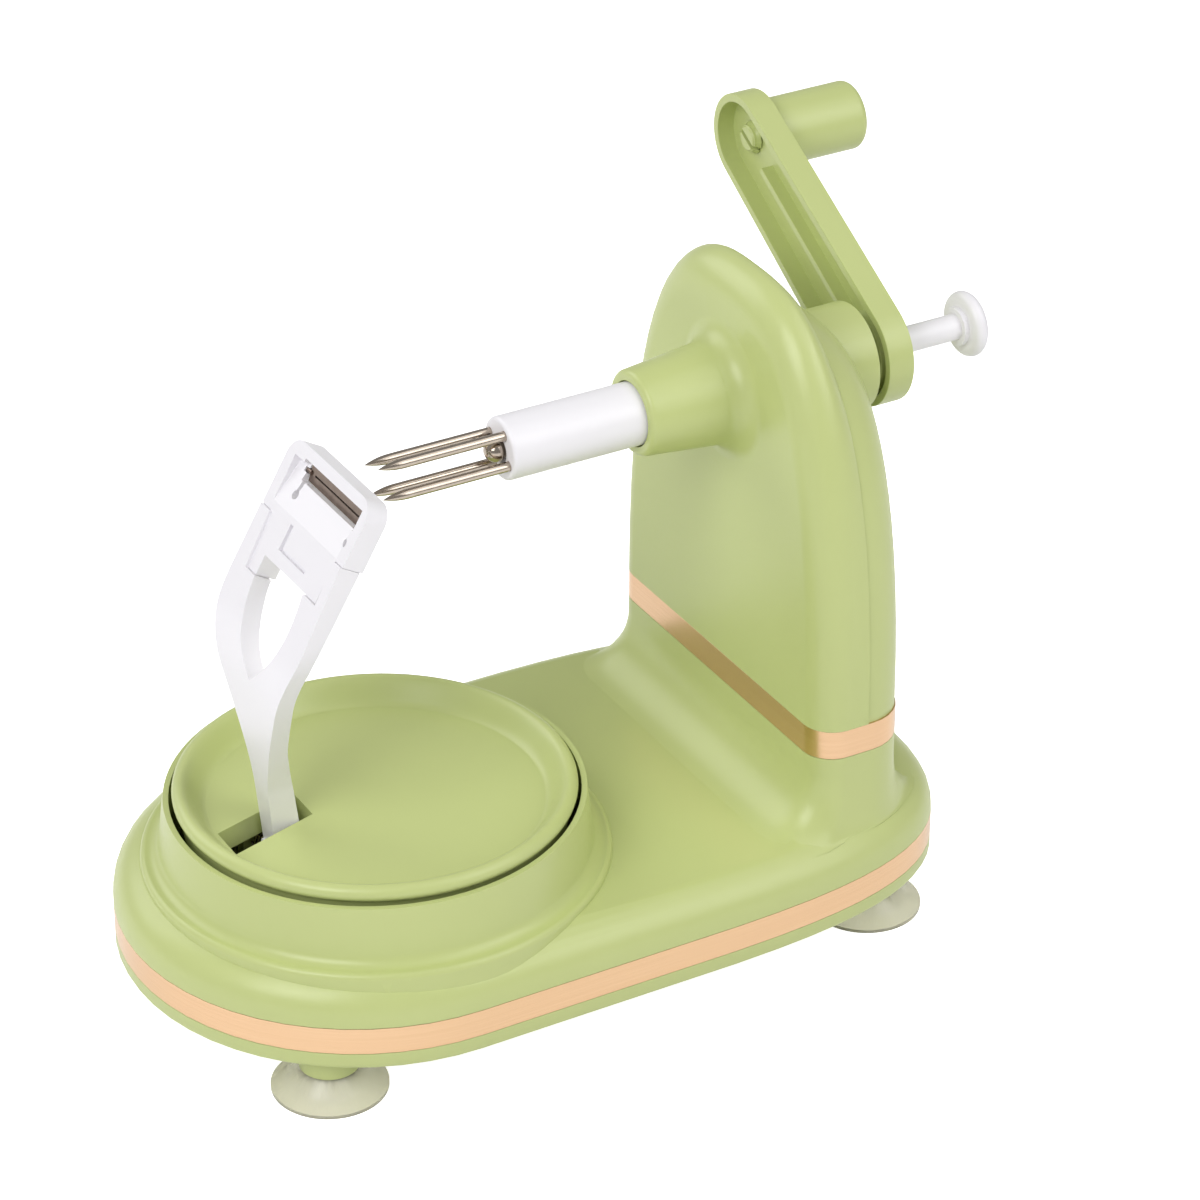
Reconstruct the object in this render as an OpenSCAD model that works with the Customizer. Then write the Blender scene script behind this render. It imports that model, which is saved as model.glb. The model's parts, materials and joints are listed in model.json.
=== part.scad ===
// Hand cranked apple peeler on suction cups.
// The crank turns the fork, and a worm and spur gears carry the peeling arm round the fruit.
// Millimetres. Z is up, the table is z = 0, the turntable turns about the Z axis and the fork points
// along -X.

/* [Base] */
// Width of the base across its straight sides
base_w = 125; // [122:1:132]
// Middle of the base beside the turntable axis
base_y = 2.2; // [0:0.1:3]
// Centre of the round nose, measured from the turntable axis
nose_x = -2.5; // [-6:0.5:-2]
// Where the straight sides begin to round into the tail
tail_x = 43; // [30:1:60]
// Rear end of the base
base_rear = 146.5; // [144:0.5:160]
// Squareness of the tail, where 2 is an ellipse
tail_square = 3.5; // [3:0.1:3.6]
// Underside of the bottom cover above the table
base_z = 12.5; // [10:0.5:16]
// Upper edge of the base's flat top
deck_z = 36; // [33:0.5:42]
// Wall of the moulded shells
wall = 2.4; // [1.8:0.1:3]
// Floor of the bottom cover
floor_t = 2.4; // [1.8:0.1:3.2]
// Lower edge of the base's metallic band
band_z = 17.3; // [16:0.1:19]
// Height of the base's metallic band
band_h = 7.2; // [5:0.1:8]
// Thickness of both metallic bands
band_t = 1.8; // [1:0.1:2.4]

/* [Turntable] */
// Radius of the turntable over its rolled lip
table_r = 50; // [47:0.5:51]
// Top of the rolled lip
lip_z = 56.5; // [54:0.5:60]
// Width of the lip and its hollow
lip_w = 7.5; // [6:0.5:9]
// Depth of the flat below the lip
table_dip = 6; // [4:0.5:8]
// Thickness of the turntable's plate
table_t = 2.3; // [1.8:0.1:3]
// Radial gap between the turntable and the collar
collar_gap = 0.8; // [0.5:0.1:1.5]
// Collar rim below the top of the lip
collar_drop = 2.6; // [1:0.1:3]
// Rounding of the collar's foot into its terrace
collar_flare = 3; // [2:0.1:4]
// Length of the slot along its slant
slot_l = 25; // [22:0.5:27]
// Width of the slot
slot_w = 10; // [9.8:0.1:11]
// Slant of the slot from the fork's direction
slot_slant = 16; // [0:1:20]
// Middle of the slot ahead of the turntable axis
slot_x = -29; // [-31:0.5:-27]
// Middle of the slot beside the turntable axis
slot_y = 2.4; // [2:0.1:2.8]

/* [Column] */
// Front face of the column
col_front = 98; // [94:0.5:104]
// Thickness of the column
col_t = 27.5; // [26.5:0.5:30]
// Middle of the column beside the shaft
col_y = 0.8; // [0:0.1:2]
// Half width of the column
col_hw = 50; // [44:0.5:52]
// Top of the column
col_top = 170.5; // [166:0.5:178]
// Lower edge of the column's metallic band
col_band_z = 56; // [52:0.5:62]
// Height of the column's metallic band
col_band_h = 7.8; // [5:0.1:10]
// Depth of the front shell, up to the parting plane
front_depth = 14; // [12:0.5:16]
// Rounding of the front edge
round_front = 8; // [6:0.5:9]
// Rounding of the rear edge
round_rear = 12; // [9:0.5:13]
// Fall of the crown from its crest to the parting plane
crown_fall = 9; // [5:0.5:10]
// Fall of the crown from the parting plane to the rear face
rear_fall = 14; // [10:0.5:16]
// Squareness of the arch across its width, where 2 is an ellipse
arch_square = 3; // [2.4:0.1:3.2]

/* [Fork and crank] */
// Height of the crank shaft
shaft_z = 138.4; // [132:0.2:144]
// Front end of the white fork holder
holder_x = 35.5; // [30:0.5:40]
// Diameter of the fork holder
holder_d = 16; // [15:0.5:18]
// Free length of the prongs
prong_l = 34; // [28:0.5:38]
// Diameter of a prong
prong_d = 2.5; // [2:0.1:2.8]
// Radius of the circle of prongs
prong_r = 5.3; // [5.2:0.05:5.5]
// Diameter of the hollow drive shaft
shaft_d = 10; // [9.6:0.1:10.4]
// Diameter of the push rod
rod_d = 6.8; // [6:0.1:7]
// Mouth of the horn in front of the column
horn_l = 26; // [22:0.5:30]
// Diameter of the horn at its mouth
horn_d = 22; // [21:0.5:24]
// Diameter of the horn at its root
horn_root_d = 27; // [25:0.5:30]
// Diameter of the rear boss
boss_d = 27.6; // [25:0.2:30]
// Length of the rear boss
boss_l = 9.7; // [8:0.1:12]
// Gap between the rear boss and the crank
crank_gap = 2.7; // [2:0.1:4]
// Distance from the shaft to the grip
crank_l = 68.5; // [60:0.5:76]
// Width of the crank arm at the shaft
crank_w = 28; // [26:0.5:30]
// Width of the crank arm at the grip
crank_end_w = 24.5; // [23:0.5:26]
// Depth of the crank arm
crank_t = 7.3; // [6:0.1:9]
// Angle of the crank above the horizontal at rest
crank_rest = 29.5; // [0:0.5:90]
// Diameter of the grip
grip_d = 18; // [15:0.5:20]
// Length of the grip
grip_l = 26.5; // [22:0.5:34]
// Diameter of the push knob
knob_d = 17; // [14:0.5:20]
// Travel of the push knob
push_travel = 18; // [12:0.5:18]

/* [Peeling arm] */
// Middle of the arm beside the turntable axis
arm_y = 3.4; // [2.6:0.1:4.4]
// Height of the arm's pivot
pivot_z = 40; // [39:0.5:42]
// Place of the arm's pivot ahead of the turntable axis
pivot_x = -23.5; // [-25:0.5:-22]
// Thickness of the arm
arm_t = 7.6; // [6.5:0.1:8]
// Width of the arm's stem
stem_w = 6.4; // [5.5:0.1:6.6]
// Half width of the arm over both branches
arm_hw = 19.6; // [19:0.2:20.2]
// Height of the bend in the arm
bend_z = 98; // [94:0.5:102]
// Outward lean of the lower arm
lean_low = 6; // [4:0.5:8]
// Inward lean of the upper arm
lean_up = 30; // [26:0.5:34]
// Width of the blade head
head_w = 40.6; // [39.6:0.2:43]
// Height of the blade head along its lean
head_h = 28.2; // [27.4:0.2:30]
// Thickness of the blade head
head_t = 6; // [5:0.1:7]
// Length of the blade
blade_l = 28.5; // [26:0.5:30]
// Width of the blade
blade_w = 4.6; // [4:0.1:5]

/* [Feet] */
// Radius of a suction cup
cup_r = 14.4; // [12:0.2:16]
// Front cups ahead of the turntable axis
cup_front_x = -33.5; // [-36:0.5:-28]
// Rear cups behind the turntable axis
cup_rear_x = 121.5; // [110:0.5:126]
// Middle of the front cups in from the sides of the base
cup_front_in = 21.8; // [20:0.1:24]
// Middle of the rear cups in from the sides of the base
cup_rear_in = 24.3; // [23:0.1:28]
// Diameter of the studs that hold the cups
stud_d = 15; // [13:0.5:18]
// Length of the studs
stud_l = 6; // [4:0.5:7]

/* [Gears] */
// Module of the spur gears
gear_m = 1.5; // [1.5:0.01:1.52]
// Teeth of the pinion
pinion_teeth = 14; // [14:1:16]
// Teeth of the idler gear
idler_teeth = 41; // [40:1:42]
// Teeth of the turntable gear
table_teeth = 56; // [56:1:57]
// Thickness of the spur gears
gear_t = 6; // [4:0.5:7]
// Module of the worm and its wheel
worm_m = 0.9; // [0.86:0.02:0.92]
// Teeth of the worm wheel
wheel_teeth = 20; // [19:1:20]
// Starts of the worm
worm_starts = 2; // [1:1:2]
// Pitch radius of the worm
worm_r = 7.5; // [7.3:0.1:7.7]
// Length of the worm
worm_l = 16; // [12:0.5:18]
// Diameter of the upright shaft
upright_d = 6; // [5:0.5:7]

/* [Hidden] */
$fn = 64;
// Running clearance of round fits, measured on the radius
run = 0.05;
// Gap between pieces that move past each other
free = 0.4;
// Depth by which joined forms of one moulding overlap
merge = 0.4;
green = "#c8d68c";
copper = "#e0b07c";
white = "#f2f0f2";
steel = "#c4bfb8";
brass = "#c9a862";
nylon = "#e6e2d6";
clear = "#d2d0bd";

// Heights and stations worked out from the sizes above
floor_z = base_z + floor_t;
band_top = band_z + band_h;
table_z = lip_z - table_dip;
table_under = table_z - table_t;
collar_z = lip_z - collar_drop;
collar_in = table_r + collar_gap;
col_rear = col_front + col_t;
parting_x = col_front + front_depth;
col_base = col_band_z + col_band_h;
tail_len = base_rear - tail_x;
horn_x = col_front - horn_l;
boss_x = col_rear + boss_l;
crank_x = boss_x + crank_gap;
crank_out = crank_x + crank_t;
knob_x = crank_out + push_travel + 3;
worm_x = col_front + col_t / 2;
wheel_r = worm_m * wheel_teeth / 2;
upright_y = worm_r + wheel_r;
upright = [worm_x, upright_y];
pinion_r = gear_m * pinion_teeth / 2;
idler_r = gear_m * idler_teeth / 2;
ring_r = gear_m * table_teeth / 2;
gear_z = floor_z + 4;
// The idler meshes with both the turntable gear and the pinion
reach = norm(upright);
near_leg = ring_r + idler_r;
far_leg = idler_r + pinion_r;
along = (near_leg ^ 2 - far_leg ^ 2 + reach ^ 2) / (2 * reach);
aside = sqrt(max(0, near_leg ^ 2 - along ^ 2));
idler = along * upright / reach + aside * [upright.y, -upright.x] / reach;
to_idler = atan2(idler.y, idler.x);
idler_to_pinion = atan2(upright.y - idler.y, upright.x - idler.x);
pivot = [pivot_x, slot_y + (pivot_x - slot_x) * tan(slot_slant)];
// The bend is where the lower and the upper lines of the arm cross
bend_x = pivot_x - (bend_z - pivot_z) * tan(lean_low);
head_v = 22;
head_foot = [bend_x + head_v * sin(lean_up), bend_z + head_v * cos(lean_up)];

// Skin over a stack of closed rings, all with the same number of points
module skin(rings) {
  n = len(rings[0]);
  m = len(rings);
  sides = [for (j = [0 : m - 2]) for (i = [0 : n - 1]) let (k = (i + 1) % n)
    each [[j * n + i, (j + 1) * n + k, j * n + k], [j * n + i, (j + 1) * n + i, (j + 1) * n + k]]];
  low = [for (i = [0 : n - 1]) i];
  high = [for (i = [n - 1 : -1 : 0]) (m - 1) * n + i];
  polyhedron([for (r = rings) each r], concat(sides, [low, high]), convexity = 6);
}

// Outline of the base drawn in by d: a round nose, straight sides and a squared tail
nose_steps = 28;
tail_steps = 36;
function rounded(v) = sign(v) * pow(abs(v), 2 / tail_square);
function base_outline(d) = concat(
  [for (i = [0 : nose_steps]) let (a = 90 + 180 * i / nose_steps)
    [nose_x + (base_w / 2 - d) * cos(a), base_y + (base_w / 2 - d) * sin(a)]],
  [for (i = [1 : tail_steps - 1]) let (a = -90 + 180 * i / tail_steps)
    [tail_x + (tail_len - d) * rounded(cos(a)), base_y + (base_w / 2 - d) * rounded(sin(a))]]);
function base_ring(d, z) = [for (p = base_outline(d)) [p.x, p.y, z]];

// Section of the column's foot: front edge, rear edge, half width and corner radii
corner_steps = 7;
function column_outline(grow_f, grow_s, grow_r) = let (
    x1 = col_front - grow_f, x2 = col_rear + grow_r, w = col_hw + grow_s,
    r1 = round_front + min(grow_f, grow_s), r2 = round_rear + min(grow_r, grow_s))
  [for (c = [[x1 + r1, -w + r1, r1, 180], [x2 - r2, -w + r2, r2, 270],
             [x2 - r2, w - r2, r2, 0], [x1 + r1, w - r1, r1, 90]])
    for (i = [0 : corner_steps]) let (a = c[3] + 90 * i / corner_steps)
      [c[0] + c[2] * cos(a), col_y + c[1] + c[2] * sin(a)]];
function column_ring(f, s, r, z) = [for (p = column_outline(f, s, r)) [p.x, p.y, z]];

// Arch of the column seen along the shaft, drawn in by d at the sides and by e at the top
arch_steps = 20;
arch_h = col_top - col_base;
arch_rise = 2.2;
function arch_half(side, w, h) = [for (i = [0 : arch_steps]) let (
    a = 90 * (1 - (1 - i / arch_steps) ^ 1.5))
  [side * w * pow(cos(a), 2 / arch_square), h * pow(sin(a), 2 / arch_rise)]];
function arch_ring(x, d, e, drop) = let (
    left = arch_half(1, col_hw - d, arch_h - e), right = arch_half(-1, col_hw - d, arch_h - e))
  concat(
    drop > 0 ? [[x, col_y + col_hw - d, col_base - drop]] : [],
    [for (q = left) [x, col_y + q.x, col_base + q.y]],
    [for (i = [arch_steps - 1 : -1 : 0]) [x, col_y + right[i].x, col_base + right[i].y]],
    drop > 0 ? [[x, col_y - col_hw + d, col_base - drop]] : []);

// Places children with their Z axis along the shaft's X direction
module on_shaft(x) {
  translate([x, 0, shaft_z]) rotate([0, 90, 0]) children();
}
module ring(d_out, d_in, h) {
  difference() {
    cylinder(d = d_out, h = h);
    translate([0, 0, -1]) cylinder(d = d_in, h = h + 2);
  }
}

// Involute outline of a spur gear, a tooth centred on the X axis
flank_steps = 4;
backlash = 0.12;
function involute(rb, t) = rb * [cos(t) + t * PI / 180 * sin(t), sin(t) - t * PI / 180 * cos(t)];
function turn(p, a) = [p.x * cos(a) - p.y * sin(a), p.x * sin(a) + p.y * cos(a)];
function gear_points(m, teeth) = let (
    rp = m * teeth / 2, rb = rp * cos(20), ra = rp + m * 0.9, rf = rp - 1.25 * m,
    t_in = rf < rb ? 0 : sqrt((rf / rb) ^ 2 - 1) * 180 / PI,
    t_out = sqrt((ra / rb) ^ 2 - 1) * 180 / PI,
    half = 90 / teeth - backlash / rp * 180 / PI + (tan(20) * 180 / PI - 20))
  [for (k = [0 : teeth - 1]) each concat(
    [turn([min(rf, rb), 0], 360 * k / teeth - half)],
    [for (i = [0 : flank_steps]) let (t = t_in + (t_out - t_in) * i / flank_steps)
      turn(involute(rb, t), 360 * k / teeth - half)],
    [for (i = [flank_steps : -1 : 0]) let (t = t_in + (t_out - t_in) * i / flank_steps, p = involute(rb, t))
      turn([p.x, -p.y], 360 * k / teeth + half)],
    [turn([min(rf, rb), 0], 360 * k / teeth + half)])];
// Turn of the next gear, so that its gap meets the tooth of the gear that drives it
function meshed(rho, teeth, direction, next_teeth) =
  direction + 180 + (direction - rho) * teeth / next_teeth + 180 / next_teeth;
ring_rho = to_idler;
idler_rho = meshed(ring_rho, table_teeth, to_idler, idler_teeth);
pinion_rho = meshed(idler_rho, idler_teeth, idler_to_pinion, pinion_teeth);

// Wire wound into a helix along Z: coil radius, wire diameter, height and turns
coil_sides = 6;
coil_steps = 8;
module coil(r, wire, h, turns) {
  steps = ceil(turns * coil_steps);
  skin([for (j = [0 : steps]) let (a = 360 * turns * j / steps, z = wire / 2 + (h - wire) * j / steps)
    [for (i = [0 : coil_sides - 1]) let (b = 360 * i / coil_sides)
      [(r + wire / 2 * cos(b)) * cos(a), (r + wire / 2 * cos(b)) * sin(a), z + wire / 2 * sin(b)]]]);
}

// Base: the rolled edge with its low flange, the deck, the collar and the foot of the column.
// Each step of the edge is a distance inwards and a share of the height from the band to the deck.
edge_steps = [[0, 0], [0.2, 0.24], [0.7, 0.42], [1.6, 0.58], [2.9, 0.72], [4.6, 0.84], [6.6, 0.93], [9, 1]];
// Steps of the hollow under that edge: a distance inwards and a height
hollow_steps = [[4.4, 27], [6.5, 30.5], [9.2, 33.6]];
seam_z = 0.1;
skirt_d = band_t + 0.2;
flare_front = 15;
flare_side = 6;
flare_rear = 9;
flare_h = 15;
flare_steps = 9;
// The foot of the column spreads no further than this distance from the edge of the base
flare_edge = 3.5;
// There it meets the rolled edge lower than the deck
flare_fall = 2.5;
flare_sink = 0.15;
foot_root = 6;
// Collar: rim, lean of its wall, and the round terrace that it stands on
collar_rim = 1.4;
collar_lean = 1.5;
collar_steps = 8;
terrace_rise = 1.6;
terrace_w = 0.3;
terrace_round = 1.5;
screw_d = 3;
screw_head = 1.2;
post_d = 6.4;
rear_post_x = tail_x + tail_len * 0.87;
post_x = 8;
post_y = base_w / 2 - 5.9;
rear_post_y = base_w / 2 - 30.5;
base_posts = [[post_x, base_y + post_y], [post_x, base_y - post_y],
  [rear_post_x, base_y + rear_post_y], [rear_post_x, base_y - rear_post_y]];
base_screw_l = 14;
// The posts end inside the thick edge
post_top = band_top + 4;
boss_wall = 4;
boss_rise = 1.4;
module edge_solid() {
  low = band_top + seam_z;
  skin([for (s = edge_steps) base_ring(s[0], low + s[1] * (deck_z - low))]);
}
module collar_solid() {
  top_r = collar_in + collar_rim;
  foot_z = deck_z + terrace_rise;
  bend_z = foot_z + collar_flare;
  bend_r = top_r + collar_lean + collar_flare;
  edge_r = bend_r + terrace_w;
  low = band_top + 4;
  rotate_extrude() polygon(concat(
    [[collar_in - wall, low], [edge_r + terrace_round, low]],
    [for (i = [0 : collar_steps]) let (a = 90 * i / collar_steps)
      [edge_r + terrace_round * cos(a), foot_z - terrace_round + terrace_round * sin(a)]],
    [for (i = [0 : collar_steps]) let (a = 90 * i / collar_steps)
      [bend_r - collar_flare * sin(a), bend_z - collar_flare * cos(a)]],
    [[top_r, collar_z], [collar_in - wall, collar_z]]));
}
// Share of the reach of the base, drawn in by d, that a point uses up: more than 1 lies outside
function tail_share(p, d) = pow(max(0, p.x - tail_x) / (tail_len - d), tail_square)
  + pow(abs(p.y - base_y) / (base_w / 2 - d), tail_square);
roll_share = pow((base_w / 2 - flare_edge) / (base_w / 2 - flare_side - flare_edge), tail_square) - 1;
// Ring of the column's foot at the angle a of its hollow curve, held back from the edge of the base
function foot_ring(a) = let (
    own = column_outline(0, 0, 0),
    wide = column_outline(flare_front, flare_side, flare_rear))
  [for (i = [0 : len(own) - 1]) let (
      f0 = tail_share(own[i], flare_edge), f1 = tail_share(wide[i], flare_edge),
      t = f1 <= 1 ? 1 : f0 >= 1 ? 0 : (1 - f0) / (f1 - f0),
      low = own[i] + t * (wide[i] - own[i]),
      fall = flare_fall * min(1, max(0, tail_share(low, flare_side + flare_edge) - 1) / roll_share),
      p = own[i] + (1 - sin(a)) * (low - own[i]))
    [p.x, p.y, deck_z - flare_sink + flare_h - (flare_h + fall) * cos(a)]];
module column_foot() {
  skin(concat(
    [column_ring(0, 0, 0, deck_z - foot_root)],
    [for (j = [0 : flare_steps]) foot_ring(90 * j / flare_steps)],
    [column_ring(0, 0, 0, col_band_z - seam_z)]));
}
module base_shell() {
  color(green) difference() {
    union() {
      difference() {
        union() {
          edge_solid();
          collar_solid();
          column_foot();
          translate([0, 0, floor_z + 0.2]) linear_extrude(band_top + 1 - floor_z)
            polygon(base_outline(skirt_d));
        }
        for (h = hollow_steps) translate([0, 0, -1]) linear_extrude(h[1] + 1) polygon(base_outline(h[0]));
        translate([0, 0, deck_z - wall - 1]) linear_extrude(col_base)
          polygon(column_outline(-wall, -wall, -wall));
      }
      // Tongue inside the column's band
      translate([0, 0, deck_z + 8]) linear_extrude(col_base - deck_z - 8.4) difference() {
        polygon(column_outline(-skirt_d, -skirt_d, -skirt_d));
        polygon(column_outline(-skirt_d - 1.8, -skirt_d - 1.8, -skirt_d - 1.8));
      }
      for (p = base_posts) translate([p.x, p.y, floor_z + 0.2]) cylinder(d = post_d, h = post_top - floor_z);
    }
    translate([0, 0, -1]) cylinder(r = collar_in, h = lip_z + 10);
    for (p = base_posts) translate([p.x, p.y, -1]) cylinder(d = screw_d - 0.4, h = post_top + 1);
  }
}

module bottom_cover() {
  color(green) difference() {
    union() {
      difference() {
        skin([base_ring(1.6, base_z), base_ring(0.5, base_z + 0.5), base_ring(0, base_z + 1.6),
          base_ring(0, band_z - 0.1)]);
        translate([0, 0, floor_z]) linear_extrude(band_h) polygon(base_outline(skirt_d - 0.2));
      }
      for (p = cups) translate([p.x, p.y, base_z - stud_l]) cylinder(d = stud_d, h = stud_l + 1);
      for (p = [[0, 0], upright]) translate([p.x, p.y, base_z + 1])
        cylinder(d = bush_d + boss_wall + 1, h = floor_t + boss_rise);
      translate([idler.x, idler.y, base_z + 1]) cylinder(d = axle_d + 2 * boss_wall, h = floor_t + boss_rise);
    }
    for (p = cups) translate([p.x, p.y, base_z - stud_l - 1])
      cylinder(d = cup_neck_d + 2 * run, h = stud_l + 2);
    translate([0, 0, base_z - 1]) cylinder(d = bush_d, h = floor_t + 5);
    translate([upright.x, upright.y, base_z + 1]) cylinder(d = upright_d + 4, h = floor_t + 5);
    translate([idler.x, idler.y, base_z + 1]) cylinder(d = axle_d, h = floor_t + 5);
    for (p = base_posts) translate([p.x, p.y, base_z - 1]) cylinder(d = screw_d + 0.4, h = floor_t + 2);
    for (p = base_posts) translate([p.x, p.y, base_z - 1])
      cylinder(d = screw_d * 2 + 0.4, h = screw_head + 1.3);
  }
}

module band_ring(outline_out, outline_in, z, h) {
  color(copper) translate([0, 0, z]) linear_extrude(h) difference() {
    polygon(outline_out);
    polygon(outline_in);
  }
}
module base_band() {
  band_ring(base_outline(0), base_outline(band_t), band_z, band_h);
}
module column_band() {
  inset = -band_t;
  band_ring(column_outline(0, 0, 0), column_outline(inset, inset, inset), col_band_z, col_band_h);
}

// Column: a front shell with the horn and a rear shell with the boss, parted across the shaft
arch_rounds = 7;
crown_steps = 4;
// Step by which the rear shell stands back at the parting plane
seam = 0.5;
col_posts = [[32, col_base + 20], [-32, col_base + 20], [26, shaft_z - 16], [-26, shaft_z - 16]];
bush_out = holder_d + 4;
rear_bush_d = shaft_d + 6;
// Outer rings of the front shell: rounded from the face to a crest, then falling to the parting plane
crest_x = col_front + round_front;
function front_rings(d, drop) = concat(
  [for (j = [0 : arch_rounds]) let (a = 90 * j / arch_rounds, k = 1 - sin(a))
    arch_ring(crest_x - (round_front - d) * cos(a), d + (round_front - d) * k,
      d + (round_front + 2 - d) * k, drop)],
  [for (j = [1 : crown_steps]) let (t = j / crown_steps)
    arch_ring(crest_x + (parting_x - crest_x) * t, d, d + crown_fall * t ^ 2, drop)]);
module front_form(d, drop) {
  skin(concat(front_rings(d, drop), d > 0 ? [arch_ring(parting_x + 1, d, d + crown_fall, drop)] : []));
}
function rear_rings(d, drop) = let (len = col_t - front_depth)
  [for (j = [0 : arch_rounds]) let (
      a = 90 * j / arch_rounds,
      x = (len - d) * sin(a),
      flat = len - round_rear,
      side = x < flat ? 0 : round_rear - sqrt(max(0, round_rear ^ 2 - (x - flat) ^ 2)),
      fall = rear_fall * (0.45 * sin(a) + 0.55 * (1 - cos(a))))
    arch_ring(parting_x + x, d + seam + side, d + seam + crown_fall + fall, drop)];
module rear_form(d, drop) {
  skin(concat(d > 0 ? [arch_ring(parting_x - 1, d + seam, d + seam + crown_fall, drop)] : [],
    rear_rings(d, drop)));
}
module horn() {
  lip = 1.5;
  fillet = 10;
  root_r = horn_root_d / 2;
  on_shaft(horn_x) rotate_extrude() {
    difference() {
      union() {
        polygon([[0, lip], [horn_d / 2, lip], [root_r, horn_l], [0, horn_l]]);
        square([horn_d / 2 - lip, lip * 2]);
        translate([horn_d / 2 - lip, lip]) circle(r = lip);
        translate([0, horn_l - fillet]) square([root_r + fillet, fillet + merge]);
      }
      translate([root_r + fillet, horn_l - fillet]) circle(r = fillet);
      translate([root_r + fillet, horn_l - fillet * 3]) square([fillet, fillet * 2], center = false);
    }
  }
}
module column_front() {
  color(green) difference() {
    union() {
      difference() {
        front_form(0, 0);
        front_form(wall, 4);
      }
      horn();
      for (p = col_posts) translate([col_front + 1, p.x, p.y]) rotate([0, 90, 0])
        cylinder(d = post_d, h = front_depth - 1);
    }
    on_shaft(horn_x - 1) cylinder(d = holder_d + 0.8, h = horn_l);
    on_shaft(horn_x + 4) cylinder(d = bush_out, h = horn_l + 20);
    for (p = col_posts) translate([col_front + 4, p.x, p.y]) rotate([0, 90, 0])
      cylinder(d = screw_d - 0.4, h = front_depth);
  }
}
module column_rear() {
  shelf_z = shaft_z + 7;
  color(green) difference() {
    union() {
      difference() {
        rear_form(0, 0);
        rear_form(wall, 4);
      }
      on_shaft(col_rear - wall) cylinder(d = boss_d, h = boss_l + wall);
      // Shelf that carries the head of the upright shaft
      translate([worm_x - 6, upright.y - 6, shelf_z]) cube([col_rear - wall + merge - worm_x + 6, 12, 4]);
      for (p = col_posts) translate([parting_x + 0.1, p.x, p.y]) rotate([0, 90, 0])
        cylinder(d = post_d + 4, h = col_t - front_depth - 1.6);
    }
    on_shaft(parting_x) cylinder(d = rear_bush_d, h = col_t);
    translate([upright.x, upright.y, shelf_z - 1]) cylinder(d = upright_d + 4, h = 6);
    for (p = col_posts) translate([parting_x - 1, p.x, p.y]) rotate([0, 90, 0])
      cylinder(d = screw_d + 0.4, h = col_t);
    for (p = col_posts) translate([col_rear - 3, p.x, p.y]) rotate([0, 90, 0])
      cylinder(d = screw_d * 2 + 0.4, h = 4);
  }
}

// Bushes and axles
bush_d = 12;
axle_d = 6;
spindle_d = 8;
module front_bush() {
  color(nylon) on_shaft(horn_x + 4) ring(bush_out, holder_d + 2 * run, horn_l - 2);
}
module rear_bush() {
  color(nylon) on_shaft(col_rear - wall) ring(rear_bush_d, shaft_d + 2 * run, boss_l + wall);
}
module upright_bush_lower() {
  color(brass) translate([upright.x, upright.y, base_z + 1]) difference() {
    cylinder(d = upright_d + 4, h = floor_t + 1.4);
    translate([0, 0, 1]) cylinder(d = upright_d + 2 * run, h = floor_t + 5);
  }
}
module upright_bush_upper() {
  color(brass) translate([upright.x, upright.y, shaft_z + 7]) ring(upright_d + 4, upright_d + 2 * run, 4);
}
module turntable_bush() {
  color(nylon) translate([0, 0, base_z + 2]) ring(bush_d, spindle_d + 2 * run, gear_z - base_z - 2 - 0.1);
}
module idler_axle() {
  color(steel) translate([idler.x, idler.y, base_z + 1]) {
    cylinder(d = axle_d, h = gear_z + gear_t - base_z - 0.6);
    translate([0, 0, gear_z + gear_t - base_z - 0.6]) cylinder(d = axle_d + 3, h = 1.2);
  }
}

// Feet
cup_front_y = base_w / 2 - cup_front_in;
cup_rear_y = base_w / 2 - cup_rear_in;
cups = [[cup_front_x, base_y - cup_front_y], [cup_front_x, base_y + cup_front_y],
  [cup_rear_x, base_y - cup_rear_y], [cup_rear_x, base_y + cup_rear_y]];
cup_neck_d = 7;
module suction_cup(i) {
  top = base_z - stud_l;
  lip = 0.9;
  color(clear) translate([cups[i].x, cups[i].y, 0]) rotate_extrude() {
    difference() {
      polygon([[0, top + stud_l], [cup_neck_d / 2, top + stud_l], [cup_neck_d / 2, top],
        [stud_d / 2 - 0.6, top],
        [stud_d / 2 - 0.2, top - 0.8], [cup_r - 3.2, lip + 1.4], [cup_r, lip], [cup_r, 0], [0, 0]]);
      polygon([[0, top - 2.6], [3, top - 2.7], [cup_r - 4, lip + 0.4], [cup_r - 1, 0], [cup_r - 1, -1],
        [0, -1]]);
    }
  }
}

// Fasteners
module screw(l) {
  cylinder(d = screw_d * 2, h = screw_head);
  cylinder(d = screw_d - 0.4, h = l);
}
module base_screws() {
  color(steel) for (p = base_posts) translate([p.x, p.y, base_z + 0.2]) difference() {
    screw(base_screw_l);
    translate([0, 0, -1]) cylinder(d = 2.6, h = 2, $fn = 6);
  }
}
module column_screws() {
  color(steel) for (p = col_posts) translate([col_rear - 0.6, p.x, p.y]) rotate([0, -90, 0]) difference() {
    screw(col_t - 8);
    translate([0, 0, -1]) cylinder(d = 2.6, h = 2, $fn = 6);
  }
}

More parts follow.
